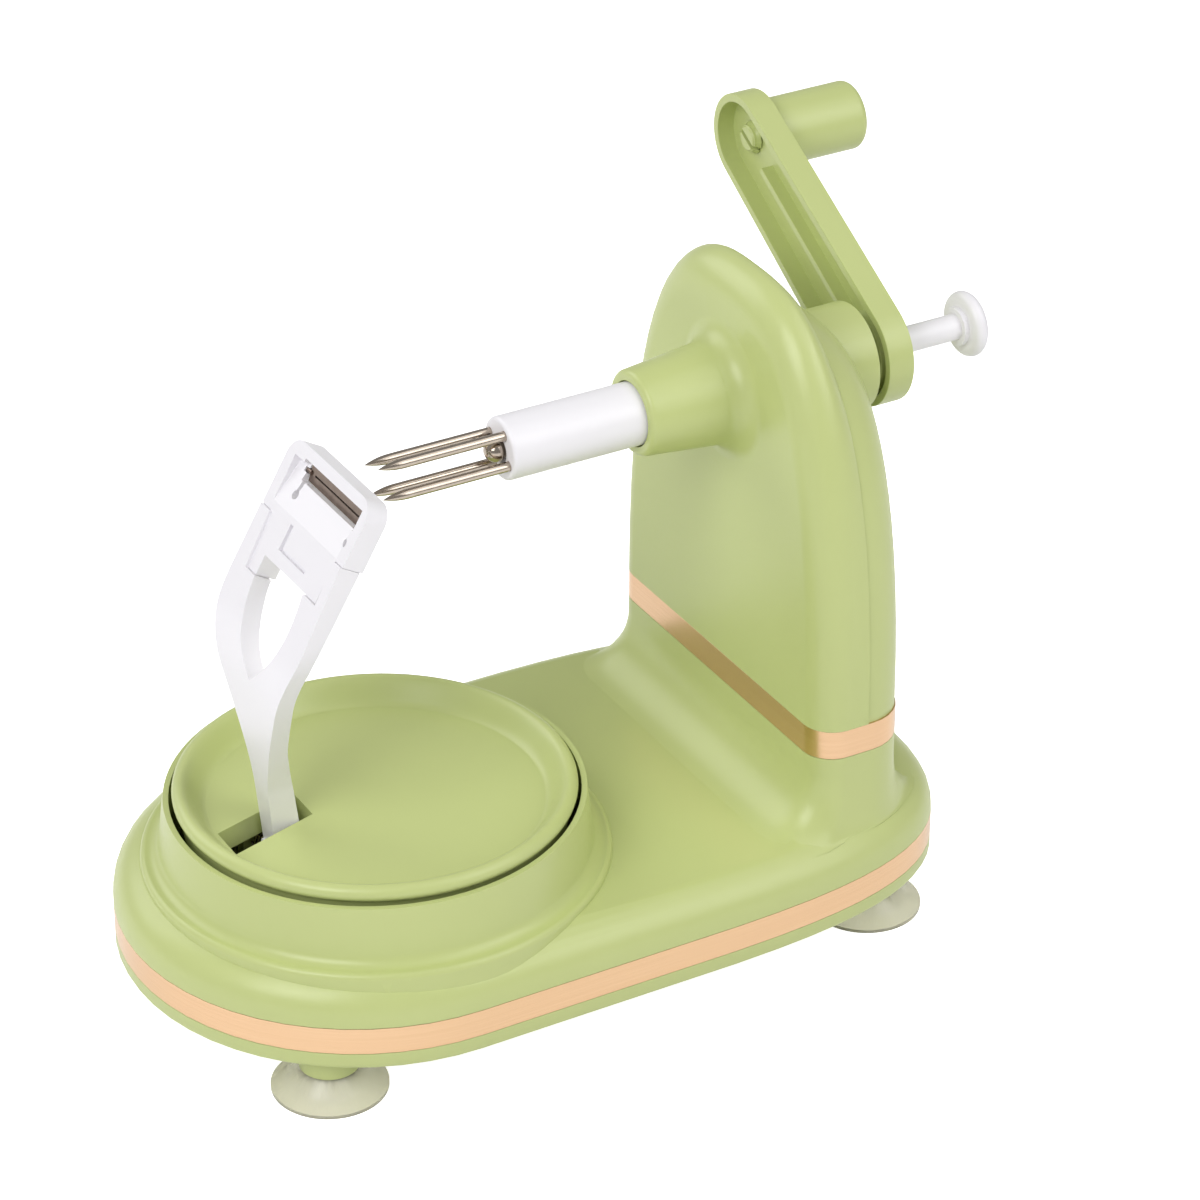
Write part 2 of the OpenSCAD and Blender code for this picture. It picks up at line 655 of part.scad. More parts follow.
// Drive: shaft, worm, fork and crank
rod_gap = 0.1;
holder_end = horn_x + horn_l + 1;
socket_x = holder_x + 44;
spring_x = holder_x + 11.5;
collar_x = socket_x - 6;
prong_turn = 28;
crank_hub_d = 20;
module drive_shaft() {
  color(nylon) on_shaft(socket_x) ring(shaft_d, rod_d + 2 * rod_gap, crank_out - socket_x - 0.8);
}
module worm() {
  lead = PI * worm_m * worm_starts;
  steps_per_turn = 24;
  steps = ceil(worm_l / lead * steps_per_turn);
  root_r = worm_r - 1.2 * worm_m;
  tip_r = worm_r + 0.9 * worm_m;
  root_w = PI * worm_m * 0.62;
  tip_w = PI * worm_m * 0.26;
  color(nylon) difference() {
    union() {
      on_shaft(worm_x - worm_l / 2) cylinder(r = root_r, h = worm_l);
      for (s = [0 : worm_starts - 1])
        skin([for (j = [0 : steps]) let (
            x = worm_x + (worm_l - root_w - 1) * (j / steps - 0.5),
            a = 360 * (x - worm_x) / lead + 360 * s / worm_starts)
          [for (p = [[root_r - 0.5, root_w / 2], [tip_r, tip_w / 2], [tip_r, -tip_w / 2], [root_r - 0.5,
            -root_w / 2]])
            [x + p[1], p[0] * cos(a), shaft_z + p[0] * sin(a)]]]);
    }
    on_shaft(worm_x - worm_l) cylinder(d = shaft_d, h = worm_l * 2);
  }
}
module fork_holder() {
  color(white) on_shaft(holder_x) difference() {
    rotate_extrude() difference() {
      union() {
        translate([0, 1]) square([holder_d / 2, holder_end - holder_x - 1]);
        square([holder_d / 2 - 1, 2]);
        translate([holder_d / 2 - 1, 1]) circle(r = 1);
      }
      translate([-holder_d, 0]) square([holder_d, holder_end]);
    }
    translate([0, 0, -1]) cylinder(d = rod_d + 2 * rod_gap, h = 40);
    translate([0, 0, spring_x - holder_x]) cylinder(d = holder_d - 3, h = socket_x - spring_x);
    translate([0, 0, socket_x - holder_x - 1]) cylinder(d = shaft_d, h = holder_end);
    for (i = [0 : 3]) rotate([0, 0, prong_turn + 90 * i]) translate([prong_r, 0, -1])
      cylinder(d = prong_d, h = 9);
  }
}
module prong(i) {
  tip = 7;
  bow = (tip ^ 2 + (prong_d / 2) ^ 2) / prong_d;
  color(steel) on_shaft(holder_x - prong_l) rotate([0, 0, prong_turn + 90 * i]) translate([prong_r, 0, 0])
    rotate_extrude() {
      translate([0, tip]) square([prong_d / 2, prong_l + 8 - tip]);
      intersection() {
        translate([prong_d / 2 - bow, tip]) circle(r = bow, $fn = 200);
        square([prong_d, tip + 0.1]);
      }
    }
}
// Outline of the crank arm in its own plane, drawn in by d: two round ends and their tangents
crank_steps = 40;
function crank_points(d) = let (
  r1 = crank_w / 2 - d,
  r2 = crank_end_w / 2 - d,
  tilt = asin((r1 - r2) / crank_l)
) concat(
  [for (i = [0 : crank_steps]) let (a = 180 - tilt + i * (180 + 2 * tilt) / crank_steps)
    r1 * [cos(a), sin(a)]],
  [for (i = [0 : crank_steps]) let (a = tilt + i * (180 - 2 * tilt) / crank_steps)
    [0, crank_l] + r2 * [cos(a), sin(a)]]
);
module crank_outline(d) {
  polygon(crank_points(d));
}
// Puts flat outlines in the crank's plane, thickness along X
module on_crank(x) {
  translate([x, 0, shaft_z]) rotate([crank_rest, 0, 0]) rotate([90, 0, 90]) rotate([0, 0, -90]) children();
}
grip_stem_d = 7;
module crank_arm() {
  plate = 2.4;
  rim = 2.2;
  rib = 1.8;
  color(green) difference() {
    union() {
      difference() {
        on_crank(crank_x) linear_extrude(crank_t) crank_outline(0);
        on_crank(crank_x - 1) linear_extrude(crank_t - plate + 1) crank_outline(rim);
      }
      on_crank(crank_x + 1.4) linear_extrude(crank_t - 2) translate([-rib / 2, 0])
        square([rib, crank_l - 10]);
      on_crank(crank_x) cylinder(d = crank_hub_d, h = crank_t - 0.6);
    }
    on_crank(crank_x - 1) cylinder(d = shaft_d, h = crank_t + 0.2);
    on_crank(crank_x - 1) cylinder(d = rod_d + 2 * rod_gap + 0.4, h = crank_t + 5);
    on_crank(crank_x - 1) translate([0, crank_l]) cylinder(d = grip_stem_d + 2 * run, h = crank_t + 5);
  }
}
module crank_grip() {
  round_end = 2;
  start = crank_out + free;
  snap = crank_out - 2.4 - free - 1.6;
  color(green) on_crank(0) translate([0, crank_l]) {
    translate([0, 0, start]) rotate_extrude() difference() {
      union() {
        square([grip_d / 2, grip_l - round_end]);
        square([grip_d / 2 - round_end, grip_l]);
        translate([grip_d / 2 - round_end, grip_l - round_end]) circle(r = round_end);
      }
      translate([-grip_d, 0]) square([grip_d, grip_l]);
    }
    difference() {
      union() {
        translate([0, 0, snap]) cylinder(d = grip_stem_d, h = start - snap + 1);
        translate([0, 0, snap - 0.4]) cylinder(d1 = grip_stem_d - 1, d2 = grip_stem_d + 1.6, h = 2);
      }
      translate([-0.6, -grip_d, snap - 1]) cube([1.2, grip_d * 2, 4.4]);
    }
  }
}
module push_rod() {
  color(white) {
    on_shaft(holder_x + 2) cylinder(d = rod_d, h = knob_x - holder_x - 1);
    on_shaft(collar_x) cylinder(d = holder_d - 4, h = 5.4);
  }
}
module push_knob() {
  color(white) on_shaft(knob_x) rotate_extrude() difference() {
    union() {
      square([rod_d / 2 + 1.6, 2.4]);
      translate([0, 1.4]) square([knob_d / 2 - 2, 4.2]);
      translate([knob_d / 2 - 2.1, 3.5]) circle(r = 2.1);
    }
    square([rod_d / 2, 1]);
    translate([-knob_d, -1]) square([knob_d, 10]);
    translate([0, 30 + 5.2]) circle(r = 30, $fn = 160);
  }
}
module ejector_tip() {
  color(steel) on_shaft(holder_x - 4) rotate_extrude() {
    intersection() {
      translate([0, 3]) circle(r = 3);
      square([3, 6]);
    }
    translate([0, 3]) square([2, 3]);
  }
}
module ejector_spring() {
  color(steel) on_shaft(spring_x + 0.1) coil(4.7, 0.9, collar_x - spring_x - 0.2, 6.5);
}

// Gear train from the worm down to the turntable
upright_over = 12;
module upright_shaft() {
  color(steel) translate([upright.x, upright.y, base_z + 2.1])
    cylinder(d = upright_d, h = shaft_z + upright_over - base_z);
}
module worm_wheel() {
  color(nylon) translate([upright.x, upright.y, shaft_z - 2]) difference() {
    union() {
      linear_extrude(4) rotate(-90 + 180 / wheel_teeth) polygon(gear_points(worm_m, wheel_teeth));
      translate([0, 0, -3]) cylinder(d = upright_d + 4, h = 4);
    }
    translate([0, 0, -5]) cylinder(d = upright_d, h = 12);
  }
}
module spur(at, m, teeth, rho, bore, lighten) {
  rf = m * teeth / 2 - 1.25 * m;
  color(nylon) translate([at.x, at.y, gear_z]) difference() {
    linear_extrude(gear_t) rotate(rho) polygon(gear_points(m, teeth));
    translate([0, 0, -1]) cylinder(d = bore, h = gear_t + 2);
    if (lighten) translate([0, 0, gear_t / 2 + 1]) ring(2 * rf - 6, bore + 12, gear_t);
  }
}
module pinion() {
  spur(upright, gear_m, pinion_teeth, pinion_rho, upright_d, false);
}
module idler_gear() {
  spur(idler, gear_m, idler_teeth, idler_rho, axle_d + 2 * run, true);
}
module turntable_gear() {
  spur([0, 0], gear_m, table_teeth, ring_rho, spindle_d, true);
}

// Turntable: plate, rolled lip, skirt, hub and the cheeks of the arm's pivot
hub_d = 20;
cheek_t = 2.4;
cheek_near = -slot_w / 2 - 0.2 - cheek_t;
cheek_far = stem_w / 2 + 6;
pin_d = 3;
lip_r = 2.2;
lip_in = 2.4;
bead_steps = 12;
slope_steps = 14;
skirt_w = 2;
skirt_drop = 3;
well_t = 1.6;
well_d = 4;
// Outline of the slot, grown by g
module slot_outline(g) {
  half = slot_l / 2 * cos(slot_slant);
  side = (slot_w / 2 + g) / cos(slot_slant);
  rise = (half + g) * tan(slot_slant);
  far = half + g;
  translate([slot_x, slot_y])
    polygon([[-far, -rise - side], [far, rise - side], [far, rise + side], [-far, -rise + side]]);
}
module on_pivot() {
  translate([pivot.x, pivot.y, pivot_z]) rotate([0, 0, slot_slant]) children();
}
// Half section of the turntable: plate, skirt, round bead and the slope from the bead to the flat
function table_section() = let (
    wall_r = table_r - lip_in, in_r = wall_r - skirt_w, bead = [table_r - lip_r, lip_z - lip_r],
    slope_w = lip_w - 1.3)
  concat(
    [[0, table_under], [in_r, table_under], [in_r, table_under - skirt_drop], [wall_r,
      table_under - skirt_drop]],
    [for (i = [0 : bead_steps]) let (a = -84 + 174 * i / bead_steps) bead + lip_r * [cos(a), sin(a)]],
    [for (i = [1 : slope_steps]) let (t = i / slope_steps)
      [bead.x - slope_w * t, lip_z - table_dip * smooth(t)]],
    [[0, table_z]]);
module turntable() {
  color(green) difference() {
    union() {
      rotate_extrude() polygon(table_section());
      translate([0, 0, gear_z + gear_t]) cylinder(d = hub_d, h = table_z - gear_z - gear_t - 1);
      on_pivot() for (y = [cheek_near, cheek_far])
        translate([-5, y, -5]) cube([10, cheek_t, table_under + merge - pivot_z + 5]);
      // Walls of the slot below the plate
      translate([0, 0, table_under - well_d]) linear_extrude(well_d + merge) slot_outline(well_t);
    }
    translate([0, 0, table_under - well_d - 1]) linear_extrude(table_t + well_d + 12) slot_outline(0);
    translate([0, 0, gear_z]) cylinder(d = spindle_d, h = table_under - gear_z);
    on_pivot() rotate([90, 0, 0]) translate([0, 0, -20]) cylinder(d = pin_d, h = 40);
  }
}
module turntable_spindle() {
  color(steel) difference() {
    translate([0, 0, base_z + 0.6]) cylinder(d = spindle_d, h = table_under - base_z - 2);
    translate([0, 0, base_z + 1.1]) ring(spindle_d + 2, spindle_d - 1.6, 0.8);
  }
}
module spindle_clip() {
  color(steel) translate([0, 0, base_z + 1.1]) ring(bush_d - 1.6, spindle_d - 1.6, 0.8);
}
module arm_pivot_pin() {
  color(steel) on_pivot() translate([0, cheek_near, 0]) rotate([-90, 0, 0])
    cylinder(d = pin_d, h = cheek_far + cheek_t - cheek_near);
}

// Peeling arm: a bent strip cut to a fork with an eye, seen from the front
bend_r = 26;
eye_low = 88.5;
eye_high = 138;
eye_hw = 10.8;
fork_low = 60;
fork_high = 112;
bend_steps = 12;
bend_tangent = bend_r * tan((lean_low + lean_up) / 2);
bend_centre = [bend_x, bend_z] + bend_tangent * [sin(lean_low),
  -cos(lean_low)] + bend_r * [cos(lean_low), sin(lean_low)];
// One side of the strip, at a distance d from its middle line, from the pivot up past the head's foot
function strip_side(d) = concat(
  [[pivot_x - d * cos(lean_low), pivot_z - d * sin(lean_low)]],
  [for (i = [0 : bend_steps]) let (a = 180 + lean_low - (lean_low + lean_up) * i / bend_steps)
    bend_centre + (bend_r + d) * [cos(a), sin(a)]],
  [[head_foot.x - d * cos(lean_up) + 8 * sin(lean_up), head_foot.y + d * sin(lean_up) + 8 * cos(lean_up)]]);
module side_strip() {
  far = strip_side(-arm_t / 2);
  polygon(concat(strip_side(arm_t / 2), [for (i = [len(far) - 1 : -1 : 0]) far[i]]));
}
// Shape between two arcs: half width hw between heights low and high
module eye(hw, low, high) {
  half = (high - low) / 2;
  r = (hw ^ 2 + half ^ 2) / (2 * hw);
  intersection_for(s = [-1, 1]) translate([s * (r - hw), low + half]) circle(r = r, $fn = 200);
}
// Half width of the arm at a height: the stem swells into two branches
fork_steps = 20;
function smooth(t) = t * t * (3 - 2 * t);
function arm_half(z) = stem_w / 2 + (arm_hw - stem_w / 2) * smooth((z - fork_low) / (fork_high - fork_low));
function arm_edge(side) = concat(
  [[side * stem_w / 2, pivot_z - 8]],
  [for (i = [0 : fork_steps]) let (z = fork_low + (fork_high - fork_low) * i / fork_steps)
    [side * arm_half(z), z]],
  [[side * arm_hw, fork_high + 40]]);
module front_outline() {
  left = arm_edge(-1);
  difference() {
    polygon(concat(arm_edge(1), [for (i = [len(left) - 1 : -1 : 0]) left[i]]));
    eye(eye_hw, eye_low, eye_high);
  }
}
// Frame on the head: Y across, Z along the lean, X inwards
module on_head() {
  translate([head_foot.x, arm_y, head_foot.y]) rotate([0, lean_up, 0]) children();
}
// Seams of the head: a long leg on the far side, a short one on the near side
leg_in = 9.8;
leg_out = 15.7;
leg_drop = 5.4;
far_top = 9.5;
near_in = 16.6;
near_top = 11.4;
seam_gap = 0.1;
foot_d = 9;
// Outline of the head's lower end, with its legs, grown by g
module head_foot_outline(g) {
  translate([-near_in - g, -g]) square([near_in + leg_out + 2 * g, near_top + 2 * g]);
  translate([leg_in - g, -leg_drop - g]) square([leg_out - leg_in + 2 * g, leg_drop + far_top + 2 * g]);
  translate([-near_in - g, near_top - g]) square([near_in + leg_out + 2 * g, 40]);
  translate([-40, near_top - g]) square([40, 40]);
  translate([0, far_top - g]) square([40, 40]);
}
module peeler_arm() {
  color(white) difference() {
    union() {
      difference() {
        intersection() {
          translate([0, arm_y + 40, 0]) rotate([90, 0, 0]) linear_extrude(80) side_strip();
          translate([-80, arm_y, 0]) rotate([90, 0, 90]) linear_extrude(100) front_outline();
        }
        on_head() translate([-20, 0, 0]) rotate([90, 0, 90]) linear_extrude(40) head_foot_outline(seam_gap);
      }
      on_pivot() rotate([90, 0, 0]) translate([0, 0, -stem_w / 2]) cylinder(d = foot_d, h = stem_w);
      on_pivot() translate([-foot_d / 2, -stem_w / 2, 0]) cube([foot_d - 1, stem_w, 4]);
    }
    on_pivot() rotate([90, 0, 0]) translate([0, 0, -20]) cylinder(d = pin_d + 2 * run, h = 40);
  }
}
module arm_spring() {
  color(steel) on_pivot() translate([0, stem_w / 2 + 0.4, 0]) rotate([-90, 0, 0])
    coil(2.9, 0.8, cheek_far - stem_w / 2 - 0.8, 4.5);
}
blade_v = 22.6;
blade_y = -2.8;
window_h = 5.4;
slit_l = 3.6;
pin_r = 0.8;
blade_tilt = 12;
module head_outline() {
  r = 5;
  half = head_w / 2;
  intersection() {
    head_foot_outline(0);
    union() {
      translate([-half, -20]) square([head_w, head_h - r + 20]);
      for (s = [-1, 1]) translate([s * (half - r), head_h - r]) circle(r = r);
      translate([-half + r, head_h - r - 1]) square([head_w - 2 * r, r + 1]);
    }
  }
}
module blade_head() {
  rim = 3.8;
  panel_low = 12;
  window_low = blade_v - window_h / 2;
  slit_y = blade_l / 2 - 0.9;
  color(white) on_head() difference() {
    translate([-head_t / 2, 0, 0]) rotate([90, 0, 90]) linear_extrude(head_t) head_outline();
    // Panel sunk into the outer face
    translate([-head_t / 2 - 1, -head_w / 2 + rim, panel_low])
      cube([3.4, head_w - rim * 2, head_h - panel_low - rim]);
    // Window for the blade, with a slit that ends in a round hole below each of its ends
    translate([-head_t, blade_y - blade_l / 2 - 0.4, window_low])
      cube([2 * head_t, blade_l + 0.8, window_h]);
    for (s = [-1, 1]) translate([-head_t, blade_y + s * slit_y - 0.6, window_low - slit_l])
      cube([2 * head_t, 1.2, slit_l + 1]);
    for (s = [-1, 1]) translate([-head_t, blade_y + s * slit_y, window_low - slit_l]) rotate([0, 90, 0])
      cylinder(d = 2.4, h = 2 * head_t);
    // Corner of a shallow pocket in the outer face
    translate([-head_t / 2 - 1, -7.6, 3.4]) cube([2.2, 13.4, 1]);
    translate([-head_t / 2 - 1, 4.4, 3.4]) cube([2.2, 1.4, 7]);
    // Holes for the pins of the blade
    translate([0, blade_y, blade_v]) rotate([90, 0, 0]) translate([0, 0, -blade_l / 2 - 1.8])
      cylinder(r = pin_r + run, h = blade_l + 3.6);
  }
}
module blade() {
  t = 0.6;
  color(steel) on_head() translate([0, blade_y, blade_v]) difference() {
    union() {
      rotate([0, -blade_tilt, 0]) translate([-t / 2, -blade_l / 2, -blade_w / 2])
        cube([t, blade_l, blade_w]);
      rotate([90, 0, 0]) for (s = [-1, 1]) translate([0, 0, s * (blade_l / 2 + 0.4) - 1.1])
        cylinder(r = pin_r, h = 2.2);
    }
    rotate([0, -blade_tilt, 0]) translate([-t, -blade_l / 2 + 2.4, -0.8]) cube([2 * t, blade_l - 4.8, 1.6]);
  }
}

base_shell();
bottom_cover();
base_band();
column_front();
column_rear();
column_band();
front_bush();
rear_bush();
upright_bush_lower();
upright_bush_upper();
turntable_bush();
idler_axle();
for (i = [0 : 3]) suction_cup(i);
base_screws();
column_screws();
drive_shaft();
worm();
fork_holder();
for (i = [0 : 3]) prong(i);
crank_arm();
crank_grip();
push_rod();
push_knob();
ejector_tip();
ejector_spring();
upright_shaft();
worm_wheel();
pinion();
idler_gear();
turntable();
turntable_gear();
turntable_spindle();
spindle_clip();
arm_pivot_pin();
peeler_arm();
arm_spring();
blade_head();
blade();
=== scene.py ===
"""Looks of a hand-cranked apple peeler, laid over its fixed construction model."""

import json
import math

import bmesh
import bpy
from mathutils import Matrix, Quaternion, Vector

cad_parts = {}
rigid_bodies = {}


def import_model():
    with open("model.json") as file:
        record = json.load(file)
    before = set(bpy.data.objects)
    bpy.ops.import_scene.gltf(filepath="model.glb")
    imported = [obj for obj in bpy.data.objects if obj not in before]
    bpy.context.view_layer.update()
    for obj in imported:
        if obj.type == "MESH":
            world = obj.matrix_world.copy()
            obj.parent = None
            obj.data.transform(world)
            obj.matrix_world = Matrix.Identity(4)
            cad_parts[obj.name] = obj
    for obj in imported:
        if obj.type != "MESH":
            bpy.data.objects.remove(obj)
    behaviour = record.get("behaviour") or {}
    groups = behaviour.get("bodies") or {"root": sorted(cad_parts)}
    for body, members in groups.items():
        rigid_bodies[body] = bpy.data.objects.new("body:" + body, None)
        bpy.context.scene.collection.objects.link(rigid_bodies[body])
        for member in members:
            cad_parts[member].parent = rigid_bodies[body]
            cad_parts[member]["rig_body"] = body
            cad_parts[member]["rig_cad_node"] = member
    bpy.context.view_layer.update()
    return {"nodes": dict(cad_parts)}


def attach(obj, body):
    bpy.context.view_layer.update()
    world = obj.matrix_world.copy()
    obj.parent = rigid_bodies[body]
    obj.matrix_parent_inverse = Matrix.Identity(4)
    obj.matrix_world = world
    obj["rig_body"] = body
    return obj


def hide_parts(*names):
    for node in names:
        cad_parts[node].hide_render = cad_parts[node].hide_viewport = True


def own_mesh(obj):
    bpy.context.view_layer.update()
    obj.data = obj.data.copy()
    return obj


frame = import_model()

bl_info = {
    "name": "Apple Peeler",
    "version": (1, 0, 0),
    "blender": (4, 5, 0),
    "location": "3D View > Sidebar > Peeler",
    "description": "Finishes the pieces of a hand-cranked apple peeler",
    "category": "Object",
}

MM = 0.001

# Welding of points, and the margin in millimetres within which a point counts as lying on a face of the solid
WELD = 0.002 * MM
NEAR = 0.06

# Angles in degrees: from where edges are rounded, up to where faces shade smooth, and up to where faces are one plane
BEVEL_DEG = 40
SMOOTH_DEG = 38
FLAT_DEG = 0.2

# Camera fitted to the turntable's ellipse, the shaft and the outline, in millimetres and degrees
CAMERA_AT = (-432.59, -864.69, 675.94)
CAMERA_TO = (64.13, 1.0, 87.56)
CAMERA_LENS = 140.0
CAMERA_ROLL = 0.2

# Rounding of the trim bands and of thin steel, in millimetres as all sizes below up to the stage
BAND_EDGE = 0.12
FINE_EDGE = 0.1

# Collar round the turntable: its rim, how far this is lowered at most, and on which side
COLLAR_Z = 53.9
COLLAR_R = 56.0
RIM_DROP = 1.6
RIM_SIDE = math.radians(205)

# Horn of the column: its axis, the column's face and how far this falls back, the hollow at the horn's root in the
# solid and as finished, and the arc in radians within which points of the rim are neighbours
SHAFT_Z = 138.4
COLUMN_X = 98.0
FACE_SINK = 6.0
HORN_HOLLOW = 10.0
HORN_STEP = COLUMN_X - HORN_HOLLOW
HORN_R = 13.5
HORN_FOOT_R = 12.2
HORN_ROOT = 6.0
HORN_ROOT_R = 12.89
HORN_SINK = 0.4
RIM_ARC = 0.06

# Peeling arm: its strip's pivot, bend and thickness, and the frame of the head
ARM_Y = 3.4
ARM_T = 7.6
PIVOT_X, PIVOT_Z = -23.5, 40.0
LOW_LEAN, TOP_LEAN = 6, 30
LOW_SIN, LOW_COS, LOW_L = math.sin(math.radians(LOW_LEAN)), math.cos(math.radians(LOW_LEAN)), 49.87
BEND_X, BEND_Z, BEND_R = -2.855, 92.316, 26.0
BEND_FROM, BEND_TO = 180 + LOW_LEAN, 180 - TOP_LEAN
LEAN_SIN, LEAN_COS = math.sin(math.radians(TOP_LEAN)), math.cos(math.radians(TOP_LEAN))
HEAD_X, HEAD_Z, HEAD_L = -18.596, 117.053, 79.76
ARM_END = HEAD_L + 8.0
EYE_FROM = 46.8
# Half width of the solid arm by height, and the margin of points that lie on its far side
ARM_HALF = (
    (60, 3.2), (65.2, 3.66), (70.4, 4.9), (75.6, 6.74), (80.8, 8.97), (86, 11.4),
    (91.2, 13.83), (96.4, 16.06), (101.6, 17.9), (106.8, 19.14), (112, 19.6),
)
ARM_MARGIN = 0.4
# By the way along the strip: its thickness, the shift to the near side, and the lift of the eye's foot
ARM_THICK = ((12, 7.6), (22, 6.6), (34, 5.0), (46, 4.7), (72, 4.8), (84, 6.0))
ARM_SPREAD = ((12, 0.0), (30, 2.2), (64, 3.4), (82, 0.8))
EYE_LIFT = ((48, 5.0), (74, 0.0))
# How far the near and the far branch are brought up to the head
REACH_NEAR, REACH_FAR = 3.3, 1.4

# Head: depth and span of its panel's floor, and the fall of the floor over the panel's length
PANEL_FRONT, PANEL_BACK = -0.75, -0.45
PANEL_LOW, PANEL_HIGH = 11.9, 24.5
PANEL_TOP, PANEL_L, PANEL_FALL = 24.4, 12.4, 2.35

# Blade: its place and tilt in the head, the edges of its slit, and the share by which the slit closes
BLADE_V = 22.6
BLADE_TILT = math.radians(12)
SLIT_IN, SLIT_OUT = 0.7, 0.9
SLIT_CLOSE = 0.7

# Stage: light of the room, glow of the floor to the camera and in reflections, and soft boxes in metres and watts
ROOM_LIGHT = 0.36
FLOOR_GLOW = 0.9
FLOOR_MIRROR = 0.35
LAMP_TO = (0.05, 0, 0.08)
LAMPS = (
    ("key_softbox", (-0.65, -0.36, 0.76), 0.6, 4.9),
    ("fill_softbox", (0.7, -0.95, 0.85), 0.8, 4.2),
    ("top_softbox", (0.4, -0.3, 0.8), 0.6, 1.4),
    ("rim_softbox", (-0.5, 1.0, 0.85), 0.9, 5.0),
)

BODY_OF = {n: o["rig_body"] for n, o in frame["nodes"].items()}


def linear(code):
    """An sRGB hex colour as linear RGB with full alpha."""
    parts = [int(code[i : i + 2], 16) / 255 for i in (1, 3, 5)]
    return tuple(p / 12.92 if p <= 0.04045 else ((p + 0.055) / 1.055) ** 2.4 for p in parts) + (1.0,)


def per_metre(size_mm):
    """Texture scale at which one cell of a pattern is size_mm across."""
    return 1000.0 / size_mm


def add(tree, kind, settings=None, inputs=None, links=None):
    """Adds one node with its settings, its socket values and the links into it."""
    made = tree.nodes.new(kind)
    for name, value in (settings or {}).items():
        setattr(made, name, value)
    for name, value in (inputs or {}).items():
        made.inputs[name].default_value = value
    for name, output in (links or {}).items():
        tree.links.new(output, made.inputs[name])
    return made


def fresh(name):
    """An empty node material, and its tree."""
    made = bpy.data.materials.new(name)
    made.use_nodes = True
    made.node_tree.nodes.clear()
    return made, made.node_tree


def on_piece(tree):
    """Object coordinates, in metres."""
    return add(tree, "ShaderNodeTexCoord").outputs["Object"]


def noise(tree, place, scale, detail, roughness=0.5):
    """Strength of a cloudy pattern."""
    inputs = {"Scale": scale, "Detail": detail, "Roughness": roughness}
    return add(tree, "ShaderNodeTexNoise", None, inputs, {"Vector": place}).outputs["Fac"]


def blend(tree, colour, deep, share):
    """A colour that goes over to a deeper one by a share."""
    inputs = {6: linear(colour), 7: linear(deep)}
    return add(tree, "ShaderNodeMix", {"data_type": "RGBA"}, inputs, {0: share}).outputs[2]


def spread(tree, share, low, high, start=0.0, end=1.0):
    """A share from start to end, spread from low to high."""
    inputs = {"From Min": start, "From Max": end, "To Min": low, "To Max": high}
    return add(tree, "ShaderNodeMapRange", None, inputs, {"Value": share}).outputs[0]


def surface(made, tree, inputs, links):
    """Ends a material with its shader."""
    shader = add(tree, "ShaderNodeBsdfPrincipled", None, inputs, links)
    add(tree, "ShaderNodeOutputMaterial", None, None, {"Surface": shader.outputs[0]})
    return made


def seen(tree):
    """Light path, and 1 where the camera sees a place directly or through clear vinyl."""
    ray = add(tree, "ShaderNodeLightPath").outputs
    links = {0: ray["Is Camera Ray"], 1: ray["Is Transmission Ray"]}
    return ray, add(tree, "ShaderNodeMath", {"operation": "MAXIMUM"}, None, links).outputs[0]


# Materials


def moulded_plastic(name, colour, deep, rough, grain=0.05):
    """Injection-moulded ABS: even colour with a slow drift from the melt, satin from a lightly blasted mould.
    The blast is about 0.1 mm and too fine to show, so it is drawn coarser."""
    made, tree = fresh(name)
    place = on_piece(tree)
    drift = noise(tree, place, per_metre(55), 2.0)
    blast = noise(tree, place, per_metre(1.4), 3.0, 0.6)
    relief = add(tree, "ShaderNodeBump", None, {"Strength": grain, "Distance": 0.06 * MM}, {"Height": blast})
    links = {
        "Base Color": blend(tree, colour, deep, drift),
        "Roughness": spread(tree, blast, rough - 0.04, rough + 0.04, 0.3, 0.7),
        "Normal": relief.outputs[0],
    }
    return surface(made, tree, {"IOR": 1.53}, links)


def satin_rose_gold(name, colour, deep):
    """Metallised plastic trim, brushed along its length under a satin lacquer: warm, with fine level streaks."""
    made, tree = fresh(name)
    place = on_piece(tree)
    scale = (per_metre(60), per_metre(60), per_metre(0.5))
    along = add(tree, "ShaderNodeMapping", None, {"Scale": scale}, {"Vector": place})
    streak = noise(tree, along.outputs[0], 1.0, 3.0)
    links = {"Base Color": blend(tree, colour, deep, streak), "Roughness": spread(tree, streak, 0.2, 0.3)}
    return surface(made, tree, {"Metallic": 1.0}, links)


def drawn_metal(name, colour, deep, rough):
    """Drawn, ground or turned metal: bright, with faint scratches."""
    made, tree = fresh(name)
    place = on_piece(tree)
    mark = noise(tree, place, per_metre(2.0), 4.0)
    links = {
        "Base Color": blend(tree, colour, deep, mark),
        "Roughness": spread(tree, mark, rough - 0.05, rough + 0.05),
    }
    return surface(made, tree, {"Metallic": 1.0}, links)


def clear_vinyl(name, colour, deep):
    """Soft clear PVC: milky and smooth, a little yellow, with a cloudy tint."""
    made, tree = fresh(name)
    place = on_piece(tree)
    cloud = noise(tree, place, per_metre(9), 2.0)
    inputs = {"IOR": 1.45, "Roughness": 0.25, "Transmission Weight": 0.6}
    return surface(made, tree, inputs, {"Base Color": blend(tree, colour, deep, cloud)})


